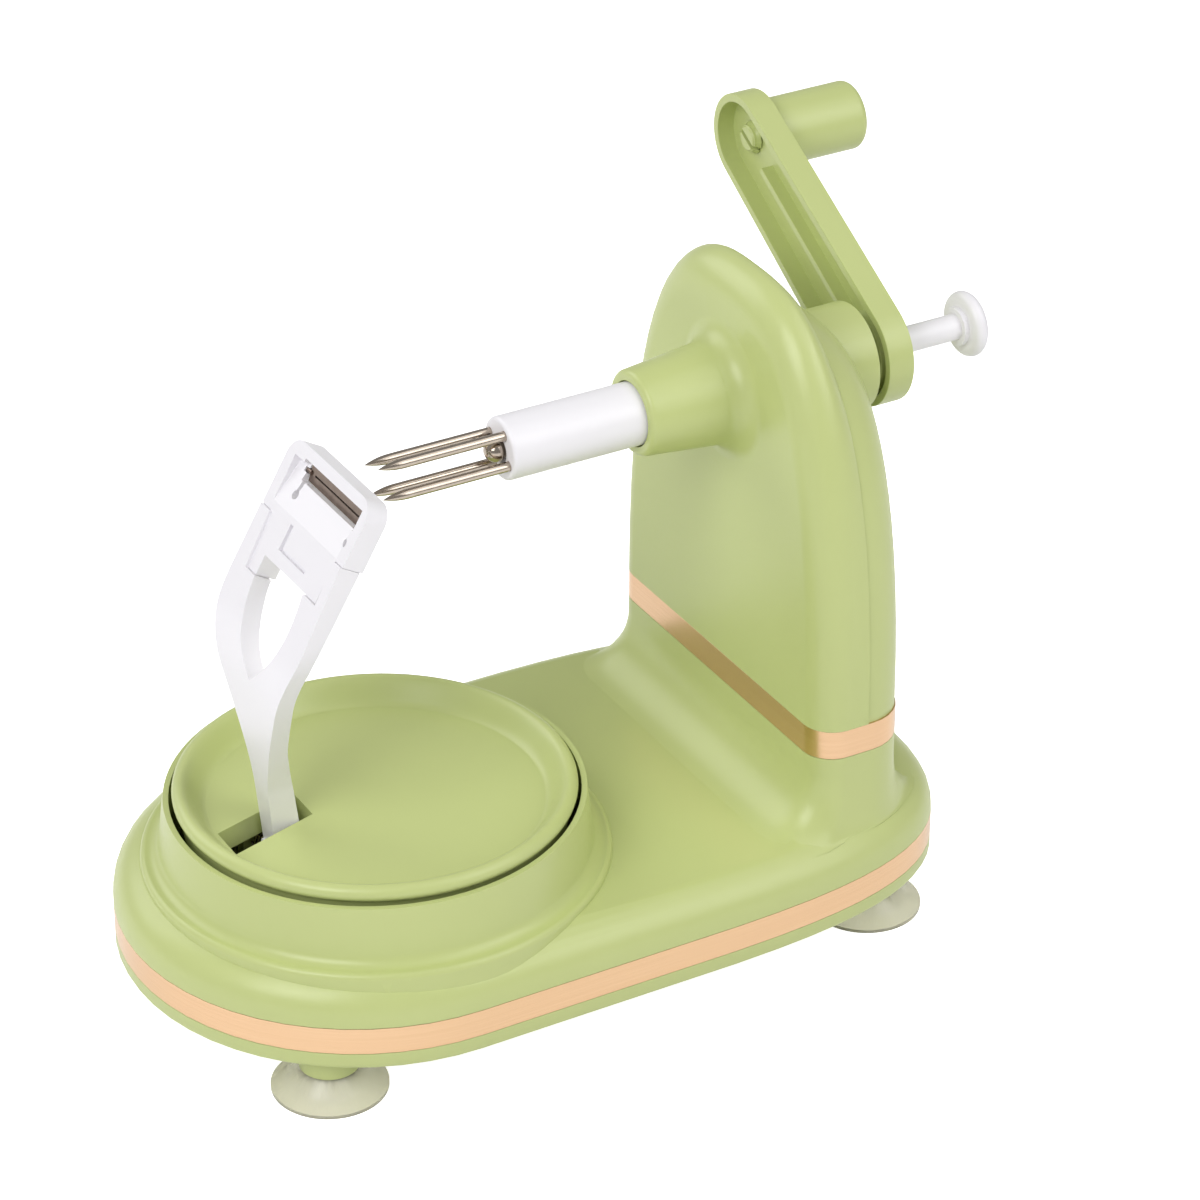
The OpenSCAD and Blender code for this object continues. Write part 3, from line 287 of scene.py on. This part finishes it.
def make_finishes(colours):
    """Every finish of the peeler, by the record's material slot."""
    return {
        "green_plastic": moulded_plastic("moulded_abs_green", colours.green, colours.green_deep, 0.33, grain=0.008),
        "white_plastic": moulded_plastic("moulded_abs_white", colours.white, colours.white_deep, 0.32, grain=0.0),
        "nylon": moulded_plastic("moulded_nylon", colours.nylon, colours.nylon_deep, 0.45),
        "copper_band": satin_rose_gold("satin_rose_gold", colours.gold, colours.gold_deep),
        "steel": drawn_metal("polished_stainless_steel", colours.steel, colours.steel_deep, 0.16),
        "ground_steel": drawn_metal("ground_blade_steel", colours.blade, colours.blade_deep, 0.3),
        "brass": drawn_metal("turned_brass", colours.brass, colours.brass_deep, 0.3),
        "clear_rubber": clear_vinyl("clear_soft_vinyl", colours.vinyl, colours.vinyl_deep),
    }


FINISHES = {}


def paint(piece, slot):
    """Gives a piece the finish of a material slot."""
    if not FINISHES:
        FINISHES.update(make_finishes(bpy.context.scene.peeler_colours))
    piece.data.materials.clear()
    piece.data.materials.append(FINISHES[slot])


# Modelling


def only(piece):
    """Selects one object alone and makes it active."""
    bpy.ops.object.select_all(action="DESELECT")
    piece.select_set(True)
    bpy.context.view_layer.objects.active = piece


def apply(piece, kind, **settings):
    """Adds a modifier and applies it."""
    only(piece)
    made = piece.modifiers.new(kind.lower(), kind)
    for name, value in settings.items():
        setattr(made, name, value)
    bpy.ops.object.modifier_apply(modifier=made.name)


def soften(piece, edge_mm):
    """Rounds the edges of a moulding and shades it smooth over its curves."""
    if edge_mm:
        apply(
            piece,
            "BEVEL",
            width=edge_mm * MM,
            segments=2,
            limit_method="ANGLE",
            angle_limit=math.radians(BEVEL_DEG),
            miter_outer="MITER_ARC",
        )
    only(piece)
    bpy.ops.object.shade_smooth_by_angle(angle=math.radians(SMOOTH_DEG))
    if edge_mm:
        apply(piece, "WEIGHTED_NORMAL", keep_sharp=True, weight=80)


def finished(node, slot, edge_mm, flat_deg=FLAT_DEG, form=None):
    """A moulded piece made from a solid: its triangles are joined, its edges rounded, and it stands for the solid.
    A form moves its points, given and returned in millimetres."""
    source = frame["nodes"][node]
    only(source)
    bpy.ops.object.duplicate()
    piece = bpy.context.active_object
    piece.name = node + "_finished"
    piece.data.name = piece.name
    del piece["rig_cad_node"]
    bpy.ops.object.mode_set(mode="EDIT")
    bpy.ops.mesh.select_all(action="SELECT")
    bpy.ops.mesh.remove_doubles(threshold=WELD)
    bpy.ops.mesh.customdata_custom_splitnormals_clear()
    if form:
        mesh = bmesh.from_edit_mesh(piece.data)
        for vert in mesh.verts:
            vert.co = Vector(form(*(vert.co / MM))) * MM
        bmesh.update_edit_mesh(piece.data)
        bpy.ops.mesh.select_all(action="SELECT")
        bpy.ops.mesh.remove_doubles(threshold=WELD)
    if flat_deg:
        bpy.ops.mesh.dissolve_limited(angle_limit=math.radians(flat_deg))
    bpy.ops.object.mode_set(mode="OBJECT")
    soften(piece, edge_mm)
    paint(piece, slot)
    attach(piece, BODY_OF[node])
    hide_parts(node)
    return piece


def kept(node, slot):
    """A solid whose shape is right stays, and gets its finish."""
    paint(frame["nodes"][node], slot)


# Forms that the solids leave plain, in millimetres


def ramp(at, points):
    """The value at a place, straight between the given places and values."""
    for (low, first), (high, last) in zip(points, points[1:]):
        if at <= high:
            return first + (last - first) * max(0.0, (at - low) / (high - low))
    return points[-1][1]


def base_form(x, y, z):
    """Lowers the collar's rim, most on the near left, where the gap to the turntable shows."""
    if z > COLLAR_Z - NEAR and math.hypot(x, y) < COLLAR_R:
        z -= RIM_DROP * (1 + math.cos(math.atan2(y, x) - RIM_SIDE)) / 2
    return x, y, z


def horn_form(node):
    """Draws the horn's cone on to a smaller hollow at its root, without the steps of the solid, down to the face."""
    rim = []
    for vert in frame["nodes"][node].data.vertices:
        x, y, z = vert.co / MM
        off = math.hypot(y, z - SHAFT_Z) - HORN_R - HORN_HOLLOW
        if abs(off) < NEAR and COLUMN_X - NEAR < x < COLUMN_X + FACE_SINK:
            rim.append((math.atan2(z - SHAFT_Z, y), x))

    def sunk(angle):
        """How far the column's face lies behind the horn's plane on one side."""
        near = [x for turn, x in rim if abs(turn - angle) < RIM_ARC]
        return max(near) - COLUMN_X if near else 0.0

    def form(x, y, z):
        away = math.hypot(y, z - SHAFT_Z)
        level = HORN_STEP - NEAR < x < COLUMN_X + FACE_SINK
        if not (level and HORN_FOOT_R < away < HORN_R + HORN_HOLLOW + NEAR):
            return x, y, z
        along = max(0.0, min(1.0, (COLUMN_X - x) / HORN_HOLLOW))
        out = max(0.0, (away - HORN_R) / HORN_HOLLOW)
        new = HORN_ROOT_R + HORN_ROOT * out
        x = COLUMN_X - HORN_ROOT * along + HORN_SINK * sunk(math.atan2(z - SHAFT_Z, y)) * out**2
        return x, y * new / away, SHAFT_Z + (z - SHAFT_Z) * new / away

    return form


def head_place(x, z):
    """Depth and height in the frame of the blade's head."""
    x, z = x - HEAD_X, z - HEAD_Z
    return x * LEAN_COS - z * LEAN_SIN, x * LEAN_SIN + z * LEAN_COS


def from_head(depth, height):
    """Place of a depth and height in the frame of the blade's head."""
    return HEAD_X + depth * LEAN_COS + height * LEAN_SIN, HEAD_Z - depth * LEAN_SIN + height * LEAN_COS


def strip_place(x, z):
    """Way along the middle line of the arm's strip, and distance in front of it."""
    turn = math.degrees(math.atan2(z - BEND_Z, x - BEND_X)) % 360
    if turn > BEND_FROM:
        x, z = x - PIVOT_X, z - PIVOT_Z
        return z * LOW_COS - x * LOW_SIN, -x * LOW_COS - z * LOW_SIN
    if turn > BEND_TO:
        return LOW_L + math.radians(BEND_FROM - turn) * BEND_R, math.hypot(x - BEND_X, z - BEND_Z) - BEND_R
    depth, height = head_place(x, z)
    return HEAD_L + height, -depth


def from_strip(way, front):
    """Place of a way along the arm's strip and a distance in front of it."""
    if way < LOW_L:
        return PIVOT_X - way * LOW_SIN - front * LOW_COS, PIVOT_Z + way * LOW_COS - front * LOW_SIN
    turn = math.radians(BEND_FROM) - (way - LOW_L) / BEND_R
    if turn > math.radians(BEND_TO):
        return BEND_X + (BEND_R + front) * math.cos(turn), BEND_Z + (BEND_R + front) * math.sin(turn)
    return from_head(-front, way - HEAD_L)


def arm_form(x, y, z):
    """Thins the arm's branches from behind, sets the near one further out, lifts the foot of the eye between them,
    and brings both branches up to the head."""
    way, front = strip_place(x, z)
    side = y - ARM_Y
    half = ramp(z, ARM_HALF)
    if way > ARM_END - NEAR:
        way += REACH_NEAR if side < 0 else REACH_FAR
    elif abs(side) < half - ARM_MARGIN and way > EYE_FROM:
        way += ramp(way, EYE_LIFT)
    if side < half - ARM_MARGIN:
        y -= ramp(way, ARM_SPREAD)
    front = ARM_T / 2 - (ARM_T / 2 - front) * ramp(way, ARM_THICK) / ARM_T
    x, z = from_strip(way, front)
    return x, y, z


def head_form(x, y, z):
    """Tilts the floor of the head's panel, so that it runs out at its lower end."""
    depth, height = head_place(x, z)
    if PANEL_FRONT < depth < PANEL_BACK and PANEL_LOW < height < PANEL_HIGH:
        depth -= PANEL_FALL * (PANEL_TOP - height) / PANEL_L
        x, z = from_head(depth, height)
    return x, y, z


def blade_form(x, y, z):
    """Narrows the blade's slit."""
    depth, height = head_place(x, z)
    across = (height - BLADE_V) * math.cos(BLADE_TILT) - depth * math.sin(BLADE_TILT)
    if SLIT_IN < abs(across) < SLIT_OUT:
        shift = -SLIT_CLOSE * across
        x, z = from_head(depth - shift * math.sin(BLADE_TILT), height + shift * math.cos(BLADE_TILT))
    return x, y, z


# Settings


def colour_setting(label, code, note):
    """A colour written as an sRGB hex value."""
    return bpy.props.StringProperty(name=label, description=note, default=code)


def edge_setting(label, size, least, most, note):
    """A rounding in millimetres."""
    return bpy.props.FloatProperty(name=label, description=note, default=size, min=least, max=most)


class PeelerColours(bpy.types.PropertyGroup):
    """Colours of the finishes, as sRGB hex values."""

    green: colour_setting("Green", "#C4CE8A", "Green of the mouldings")
    green_deep: colour_setting("Green, deep", "#C0CA84", "Green where the melt is a little deeper")
    white: colour_setting("White", "#F3F1F5", "White of the arm, the holder and the knob")
    white_deep: colour_setting("White, deep", "#EFEDF1", "White where the melt is a little deeper")
    nylon: colour_setting("Nylon", "#E6E2D6", "Gears and bearings")
    nylon_deep: colour_setting("Nylon, deep", "#DEDACD", "Gears and bearings, deeper")
    gold: colour_setting("Rose gold", "#E3C09C", "Trim bands")
    gold_deep: colour_setting("Rose gold, deep", "#DAB38D", "Streaks of the trim bands")
    steel: colour_setting("Steel", "#C6BAAC", "Prongs, springs, pins and screws")
    steel_deep: colour_setting("Steel, deep", "#A89C8F", "Faint marks on the steel")
    blade: colour_setting("Blade", "#95857A", "Ground faces of the blade")
    blade_deep: colour_setting("Blade, deep", "#7B6C62", "Ground faces of the blade, deeper")
    brass: colour_setting("Brass", "#CBAA66", "Bushes")
    brass_deep: colour_setting("Brass, deep", "#B89654", "Bushes, deeper")
    vinyl: colour_setting("Vinyl", "#DEDCC8", "Suction cups")
    vinyl_deep: colour_setting("Vinyl, deep", "#D6D4BE", "Suction cups, deeper")


class PeelerSizes(bpy.types.PropertyGroup):
    """Sizes that Blender adds to the mouldings."""

    shell_edge: edge_setting("Shell edge", 0.2, 0.1, 1.0, "Rounding of the shells' edges, in millimetres")
    seam_edge: edge_setting("Seam edge", 0.12, 0.05, 0.3, "Rounding of the column's parting edges, in millimetres")
    small_edge: edge_setting("Small edge", 0.3, 0.1, 0.6, "Rounding of small pieces' edges, in millimetres")


# Pieces


class PEELER_OT_base(bpy.types.Operator):
    """Finish the base: its shell, its cover and the trim band."""

    bl_idname = "peeler.base"
    bl_label = "Base"

    def execute(self, context):
        edge = context.scene.peeler_sizes.shell_edge
        finished("base_shell", "green_plastic", edge, form=base_form)
        finished("bottom_cover", "green_plastic", edge)
        finished("base_band", "copper_band", BAND_EDGE)
        return {"FINISHED"}


class PEELER_OT_column(bpy.types.Operator):
    """Finish the column: its two shells and the trim band round its foot."""

    bl_idname = "peeler.column"
    bl_label = "Column"

    def execute(self, context):
        edge = context.scene.peeler_sizes.seam_edge
        finished("column_front", "green_plastic", edge, form=horn_form("column_front"))
        finished("column_rear", "green_plastic", edge)
        finished("column_band", "copper_band", BAND_EDGE)
        return {"FINISHED"}


class PEELER_OT_turntable(bpy.types.Operator):
    """Finish the turntable."""

    bl_idname = "peeler.turntable"
    bl_label = "Turntable"

    def execute(self, context):
        finished("turntable", "green_plastic", context.scene.peeler_sizes.small_edge)
        return {"FINISHED"}


class PEELER_OT_crank(bpy.types.Operator):
    """Finish the crank's tray and its grip."""

    bl_idname = "peeler.crank"
    bl_label = "Crank"

    def execute(self, context):
        edge = context.scene.peeler_sizes.small_edge
        finished("crank_arm", "green_plastic", edge)
        finished("crank_grip", "green_plastic", edge)
        return {"FINISHED"}


class PEELER_OT_fork(bpy.types.Operator):
    """Finish the fork: the white holder and its four steel prongs."""

    bl_idname = "peeler.fork"
    bl_label = "Fork"

    def execute(self, context):
        finished("fork_holder", "white_plastic", context.scene.peeler_sizes.small_edge)
        for i in range(1, 5):
            finished(f"prong_{i}", "steel", 0, flat_deg=0)
        return {"FINISHED"}


class PEELER_OT_ejector(bpy.types.Operator):
    """Finish the ejector: its rod, knob, tip and spring."""

    bl_idname = "peeler.ejector"
    bl_label = "Ejector"

    def execute(self, context):
        edge = context.scene.peeler_sizes.small_edge
        finished("push_rod", "white_plastic", edge)
        finished("push_knob", "white_plastic", edge)
        finished("ejector_tip", "steel", 0, flat_deg=0)
        spring = finished("ejector_spring", "steel", 0)
        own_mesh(spring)
        return {"FINISHED"}


class PEELER_OT_arm(bpy.types.Operator):
    """Finish the peeling arm: the forked arm, its head, blade, pin and spring."""

    bl_idname = "peeler.arm"
    bl_label = "Peeling arm"

    def execute(self, context):
        edge = context.scene.peeler_sizes.small_edge
        finished("peeler_arm", "white_plastic", edge, form=arm_form)
        finished("blade_head", "white_plastic", edge, form=head_form)
        paint(finished("blade", "steel", FINE_EDGE, form=blade_form), "ground_steel")
        finished("arm_spring", "steel", 0)
        finished("arm_pivot_pin", "steel", FINE_EDGE)
        return {"FINISHED"}


class PEELER_OT_feet(bpy.types.Operator):
    """Finish the four suction cups."""

    bl_idname = "peeler.feet"
    bl_label = "Suction cups"

    def execute(self, context):
        for i in range(1, 5):
            finished(f"suction_cup_{i}", "clear_rubber", 0)
        return {"FINISHED"}


class PEELER_OT_drive(bpy.types.Operator):
    """Finish the drive inside the shells: shafts, worm, gears, bearings and screws."""

    bl_idname = "peeler.drive"
    bl_label = "Drive"

    GEARS = ("drive_shaft", "worm", "worm_wheel", "pinion", "idler_gear", "turntable_gear")
    NYLON = GEARS + ("front_bush", "rear_bush", "turntable_bush")
    BRASS = ("upright_bush_lower", "upright_bush_upper")
    STEEL = ("upright_shaft", "idler_axle", "turntable_spindle", "spindle_clip", "base_screws", "column_screws")

    def execute(self, context):
        for slot, nodes in (("nylon", self.NYLON), ("brass", self.BRASS), ("steel", self.STEEL)):
            for node in nodes:
                kept(node, slot)
        return {"FINISHED"}


class PEELER_OT_stage(bpy.types.Operator):
    """Set the floor, the light and the camera."""

    bl_idname = "peeler.stage"
    bl_label = "Stage"

    def floor(self):
        """A pale floor that takes the object's shadow and is white to the camera."""
        bpy.ops.object.select_all(action="DESELECT")
        bpy.ops.mesh.primitive_plane_add(size=8, location=(0, 0, -0.0002))
        floor = bpy.context.active_object
        floor.name = "floor"
        made, tree = fresh("pale_floor")
        ray, direct = seen(tree)
        mirror = {0: ray["Is Glossy Ray"]}
        mirrored = add(tree, "ShaderNodeMath", {"operation": "MULTIPLY"}, {1: FLOOR_MIRROR}, mirror)
        both = {0: direct, 2: mirrored.outputs[0]}
        glow = add(tree, "ShaderNodeMath", {"operation": "MULTIPLY_ADD"}, {1: FLOOR_GLOW}, both)
        inputs = {
            "Base Color": linear("#F4F4F4"),
            "Roughness": 0.9,
            "Specular IOR Level": 0.0,
            "Emission Color": (1, 1, 1, 1),
        }
        floor.data.materials.append(surface(made, tree, inputs, {"Emission Strength": glow.outputs[0]}))

    def world(self):
        """An even pale room, white where the camera sees it."""
        world = bpy.data.worlds.new("studio_room")
        world.use_nodes = True
        bpy.context.scene.world = world
        tree = world.node_tree
        tree.nodes.clear()
        strength = spread(tree, seen(tree)[1], ROOM_LIGHT, 1.0)
        shade = add(tree, "ShaderNodeBackground", None, {"Color": (1, 1, 1, 1)}, {"Strength": strength})
        add(tree, "ShaderNodeOutputWorld", None, None, {"Surface": shade.outputs[0]})

    def lamp(self, name, at, size, power):
        """A soft box at a place, turned to the middle of the object."""
        bpy.ops.object.light_add(type="AREA", location=at)
        lamp = bpy.context.active_object
        lamp.name = name
        lamp.data.size = size
        lamp.data.energy = power
        lamp.rotation_euler = (Vector(LAMP_TO) - Vector(at)).to_track_quat("-Z", "Y").to_euler()

    def camera(self):
        """The camera at the photograph's viewing angle."""
        at = Vector(CAMERA_AT) * MM
        bpy.ops.object.camera_add(location=at)
        camera = bpy.context.active_object
        aim = (Vector(CAMERA_TO) * MM - at).to_track_quat("-Z", "Y")
        camera.rotation_euler = (aim @ Quaternion((0, 0, 1), math.radians(CAMERA_ROLL))).to_euler()
        camera.data.lens = CAMERA_LENS
        camera.data.sensor_width = 36
        camera.data.clip_start = 0.05
        camera.data.clip_end = 50
        bpy.context.scene.camera = camera

    def execute(self, context):
        context.scene.view_settings.view_transform = "Standard"
        self.floor()
        self.world()
        for lamp in LAMPS:
            self.lamp(*lamp)
        self.camera()
        return {"FINISHED"}


ORDER = ("base", "column", "turntable", "crank", "fork", "ejector", "arm", "feet", "drive", "stage")


class PEELER_PT_panel(bpy.types.Panel):
    """Lists the pieces of the peeler."""

    bl_label = "Apple Peeler"
    bl_idname = "PEELER_PT_panel"
    bl_space_type = "VIEW_3D"
    bl_region_type = "UI"
    bl_category = "Peeler"

    def draw(self, context):
        for name in ORDER:
            self.layout.operator("peeler." + name)
        for group in (context.scene.peeler_sizes, context.scene.peeler_colours):
            for name in group.__annotations__:
                self.layout.prop(group, name)


CLASSES = (
    PeelerColours,
    PeelerSizes,
    PEELER_OT_base,
    PEELER_OT_column,
    PEELER_OT_turntable,
    PEELER_OT_crank,
    PEELER_OT_fork,
    PEELER_OT_ejector,
    PEELER_OT_arm,
    PEELER_OT_feet,
    PEELER_OT_drive,
    PEELER_OT_stage,
    PEELER_PT_panel,
)


def register():
    for cls in CLASSES:
        bpy.utils.register_class(cls)
    bpy.types.Scene.peeler_colours = bpy.props.PointerProperty(type=PeelerColours)
    bpy.types.Scene.peeler_sizes = bpy.props.PointerProperty(type=PeelerSizes)


def unregister():
    del bpy.types.Scene.peeler_sizes
    del bpy.types.Scene.peeler_colours
    for cls in reversed(CLASSES):
        bpy.utils.unregister_class(cls)


def main():
    register()
    for name in ORDER:
        getattr(bpy.ops.peeler, name)()


if __name__ == "__main__":
    main()
